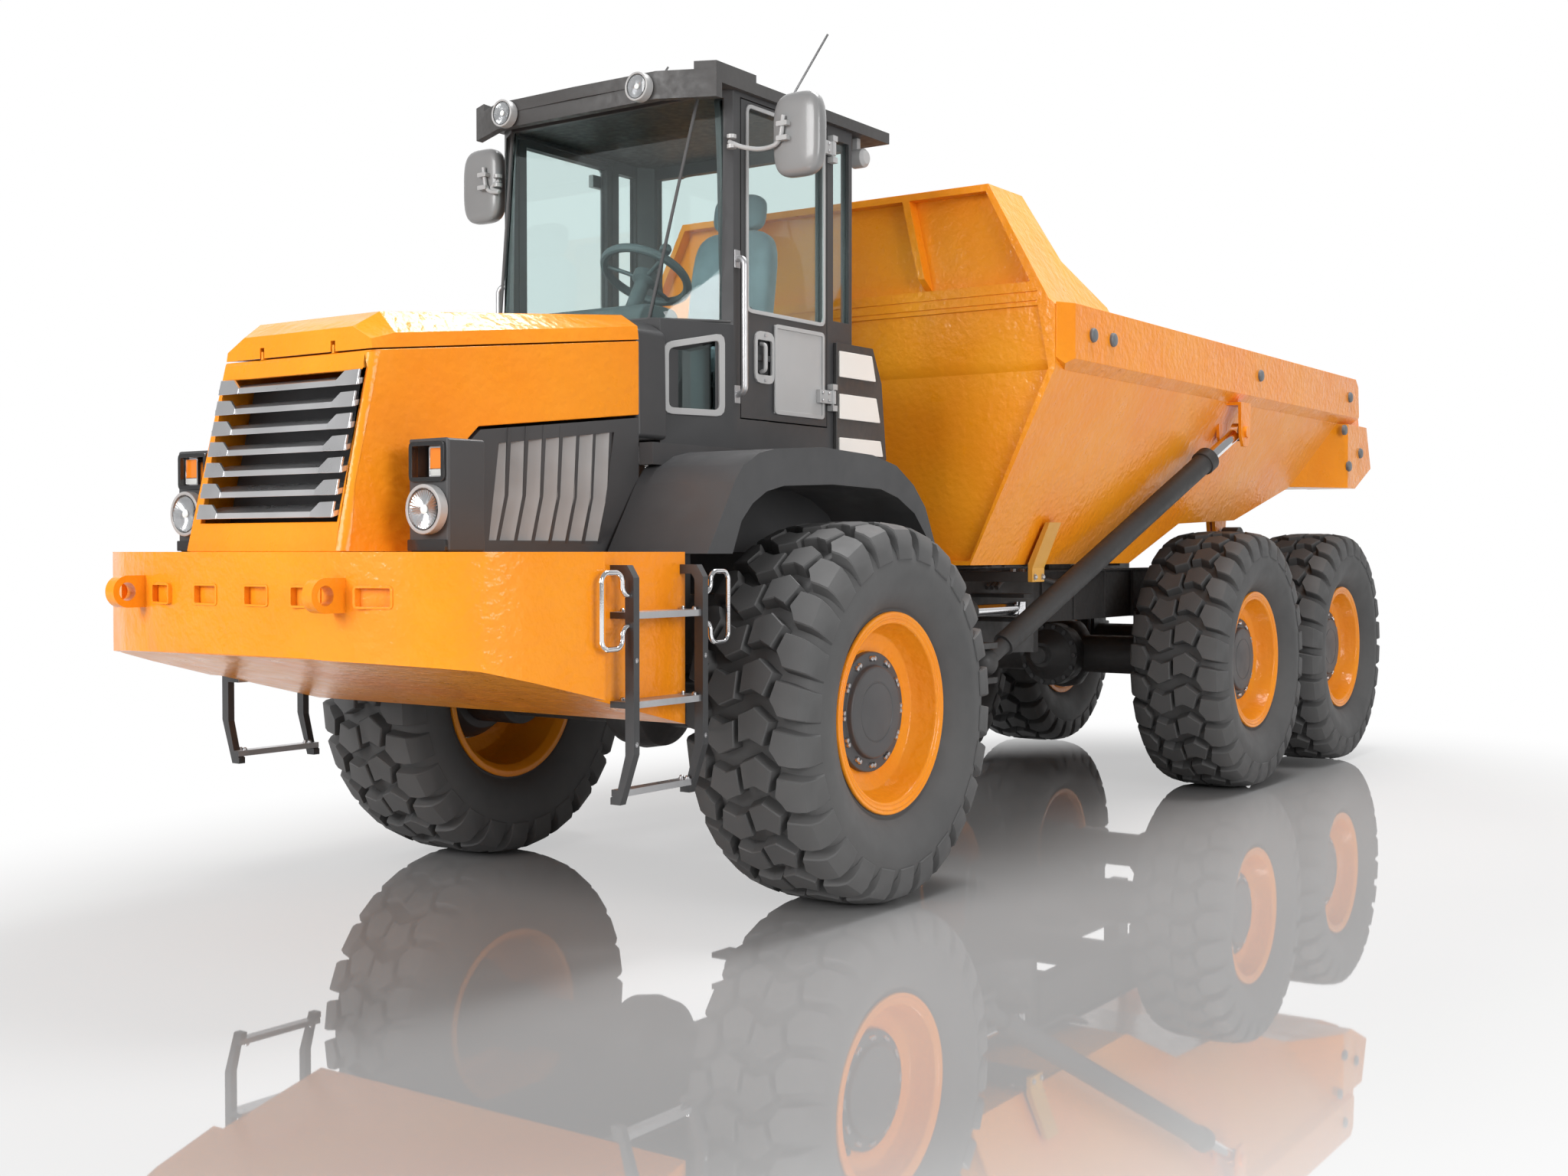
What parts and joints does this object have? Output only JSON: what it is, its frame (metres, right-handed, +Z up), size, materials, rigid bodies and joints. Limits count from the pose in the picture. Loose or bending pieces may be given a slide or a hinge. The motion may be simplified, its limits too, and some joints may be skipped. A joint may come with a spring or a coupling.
{
  "type": "articulated dump truck",
  "caption": "Six-wheeled articulated dump truck with a hinged frame, glazed cab, and a load bed that tilts on paired cylinders.",
  "frame": {"origin": "middle of the footprint, on the ground", "axes": "+Y to the truck's rear, +X to its left, +Z up"},
  "size_m": [2.86, 9.4253, 3.8742],
  "materials": {
    "orange_paint": "gloss orange-yellow paint",
    "dark_paint": "satin charcoal paint",
    "dark_plastic": "moulded charcoal plastic",
    "bright_metal": "brushed",
    "lamp_lens": "clear lens over reflector",
    "cab_glass": "lightly tinted",
    "seat_cloth": "woven cloth",
    "chrome_rod": "polished",
    "tyre_rubber": "matt rubber"
  },
  "bodies": {
    "front": {"front_frame": "dark_paint", "front_axle": "dark_paint", "bumper": "orange_paint", "belly_plate": "orange_paint", "skirt_left": "orange_paint", "skirt_right": "orange_paint", "cowl": "dark_plastic", "roof_aerials": "dark_plastic", "ladders": "dark_paint", "hood_body": "orange_paint", "grille": "bright_metal", "side_vents": "dark_paint", "engine_block": "dark_paint", "lamp_boxes": "dark_paint", "lamps": "lamp_lens", "fenders": "dark_plastic", "cab_shell": "dark_paint", "cab_roof": "dark_plastic", "cab_glass": "cab_glass", "door_pins": "dark_paint", "seat": "seat_cloth", "controls": "dark_plastic", "mirrors": "dark_plastic", "handrails": "chrome_rod", "rear_louvres": "dark_plastic"},
    "hood": {"hood_lid": "orange_paint"},
    "door_left": {"door_left": "dark_paint", "door_glass_left": "cab_glass"},
    "door_right": {"door_right": "dark_paint", "door_glass_right": "cab_glass"},
    "rear": {"rear_frame": "dark_paint", "mid_axle": "dark_paint", "rear_axle": "dark_paint", "bogie_beams": "dark_paint", "bed_guides": "orange_paint"},
    "bed": {"bed_tub": "orange_paint", "side_rails": "orange_paint", "hoist_brackets": "orange_paint"},
    "tilt_barrel_left": {"tilt_barrel_left": "dark_paint"},
    "tilt_sleeve_left": {"tilt_sleeve_left": "dark_paint"},
    "tilt_rod_left": {"tilt_rod_left": "chrome_rod"},
    "steer_barrel_left": {"steer_barrel_left": "dark_paint"},
    "steer_rod_left": {"steer_rod_left": "chrome_rod"},
    "tilt_barrel_right": {"tilt_barrel_right": "dark_paint"},
    "tilt_sleeve_right": {"tilt_sleeve_right": "dark_paint"},
    "tilt_rod_right": {"tilt_rod_right": "chrome_rod"},
    "steer_barrel_right": {"steer_barrel_right": "dark_paint"},
    "steer_rod_right": {"steer_rod_right": "chrome_rod"},
    "wheel_front_left": {"tyre_front_left": "tyre_rubber", "rim_front_left": "orange_paint"},
    "wheel_front_right": {"tyre_front_right": "tyre_rubber", "rim_front_right": "orange_paint"},
    "wheel_mid_left": {"tyre_mid_left": "tyre_rubber", "rim_mid_left": "orange_paint"},
    "wheel_mid_right": {"tyre_mid_right": "tyre_rubber", "rim_mid_right": "orange_paint"},
    "wheel_rear_left": {"tyre_rear_left": "tyre_rubber", "rim_rear_left": "orange_paint"},
    "wheel_rear_right": {"tyre_rear_right": "tyre_rubber", "rim_rear_right": "orange_paint"}
  },
  "joints": [
    {"name": "articulation", "type": "hinge", "parent": "front", "child": "rear", "pos_m": [0, -1.11875, 1.1], "axis": [0, 0, 1], "range_deg": [-40, 40]},
    {"name": "bed_tilt", "type": "hinge", "parent": "rear", "child": "bed", "pos_m": [0, 4.03125, 1.58], "axis": [-1, 0, 0], "range_deg": [0, 70]},
    {"name": "hood_open", "type": "hinge", "parent": "front", "child": "hood", "pos_m": [0, -4.28975, 2.222], "axis": [1, 0, 0], "range_deg": [0, 60]},
    {"name": "door_left_open", "type": "hinge", "parent": "front", "child": "door_left", "pos_m": [0.692, -1.77675, 2.75], "axis": [0, 0, 1], "range_deg": [0, 85]},
    {"name": "door_right_open", "type": "hinge", "parent": "front", "child": "door_right", "pos_m": [-0.692, -1.77675, 2.75], "axis": [0, 0, -1], "range_deg": [0, 85]},
    {"name": "wheel_front_left_spin", "type": "hinge", "parent": "front", "child": "wheel_front_left", "pos_m": [1.088, -2.26875, 0.8085], "axis": [1, 0, 0], "continuous": true},
    {"name": "wheel_front_right_spin", "type": "hinge", "parent": "front", "child": "wheel_front_right", "pos_m": [-1.088, -2.26875, 0.8085], "axis": [1, 0, 0], "continuous": true},
    {"name": "wheel_mid_left_spin", "type": "hinge", "parent": "rear", "child": "wheel_mid_left", "pos_m": [1.088, 2.12325, 0.8085], "axis": [1, 0, 0], "continuous": true},
    {"name": "wheel_mid_right_spin", "type": "hinge", "parent": "rear", "child": "wheel_mid_right", "pos_m": [-1.088, 2.12325, 0.8085], "axis": [1, 0, 0], "continuous": true},
    {"name": "wheel_rear_left_spin", "type": "hinge", "parent": "rear", "child": "wheel_rear_left", "pos_m": [1.088, 3.90425, 0.8085], "axis": [1, 0, 0], "continuous": true},
    {"name": "wheel_rear_right_spin", "type": "hinge", "parent": "rear", "child": "wheel_rear_right", "pos_m": [-1.088, 3.90425, 0.8085], "axis": [1, 0, 0], "continuous": true},
    {"name": "tilt_swing_left", "type": "hinge", "parent": "rear", "child": "tilt_barrel_left", "pos_m": [0.8, -0.49875, 0.91], "axis": [0.584, -0.5232, 0.6206], "range_deg": [-0.5, 8.56]},
    {"name": "tilt_sleeve_slide_left", "type": "slide", "parent": "tilt_barrel_left", "child": "tilt_sleeve_left", "axis": [0.2166, 0.8373, 0.502], "range_m": [0, 1.381]},
    {"name": "tilt_rod_slide_left", "type": "slide", "parent": "tilt_sleeve_left", "child": "tilt_rod_left", "axis": [0.2166, 0.8373, 0.502], "range_m": [0, 1.381]},
    {"name": "steer_swing_left", "type": "hinge", "parent": "front", "child": "steer_barrel_left", "pos_m": [0.55, -1.56875, 1.165], "axis": [0, 0, 1], "range_deg": [-31.9, 31.9]},
    {"name": "steer_rod_slide_left", "type": "slide", "parent": "steer_barrel_left", "child": "steer_rod_left", "axis": [0.0272, 0.9996, 0], "range_m": [-0.3792, 0.3792]},
    {"name": "tilt_swing_right", "type": "hinge", "parent": "rear", "child": "tilt_barrel_right", "pos_m": [-0.8, -0.49875, 0.91], "axis": [0.584, 0.5232, -0.6206], "range_deg": [-0.5, 8.56]},
    {"name": "tilt_sleeve_slide_right", "type": "slide", "parent": "tilt_barrel_right", "child": "tilt_sleeve_right", "axis": [-0.2166, 0.8373, 0.502], "range_m": [0, 1.381]},
    {"name": "tilt_rod_slide_right", "type": "slide", "parent": "tilt_sleeve_right", "child": "tilt_rod_right", "axis": [-0.2166, 0.8373, 0.502], "range_m": [0, 1.381]},
    {"name": "steer_swing_right", "type": "hinge", "parent": "front", "child": "steer_barrel_right", "pos_m": [-0.55, -1.56875, 1.165], "axis": [0, 0, 1], "range_deg": [-31.9, 31.9]},
    {"name": "steer_rod_slide_right", "type": "slide", "parent": "steer_barrel_right", "child": "steer_rod_right", "axis": [-0.0272, 0.9996, 0], "range_m": [-0.3792, 0.3792]}
  ],
  "couplings": [
    {"joint": "tilt_swing_left", "follows": "bed_tilt", "ratio": 0.1151},
    {"joint": "tilt_sleeve_slide_left", "follows": "bed_tilt", "m_per_rad": 1.1287},
    {"joint": "tilt_rod_slide_left", "follows": "bed_tilt", "m_per_rad": 1.1287},
    {"joint": "steer_swing_left", "follows": "articulation", "ratio": 0.78491},
    {"joint": "steer_rod_slide_left", "follows": "articulation", "m_per_rad": 0.54032},
    {"joint": "tilt_swing_right", "follows": "bed_tilt", "ratio": 0.1151},
    {"joint": "tilt_sleeve_slide_right", "follows": "bed_tilt", "m_per_rad": 1.1287},
    {"joint": "tilt_rod_slide_right", "follows": "bed_tilt", "m_per_rad": 1.1287},
    {"joint": "steer_swing_right", "follows": "articulation", "ratio": 0.78491},
    {"joint": "steer_rod_slide_right", "follows": "articulation", "m_per_rad": -0.54032}
  ]
}
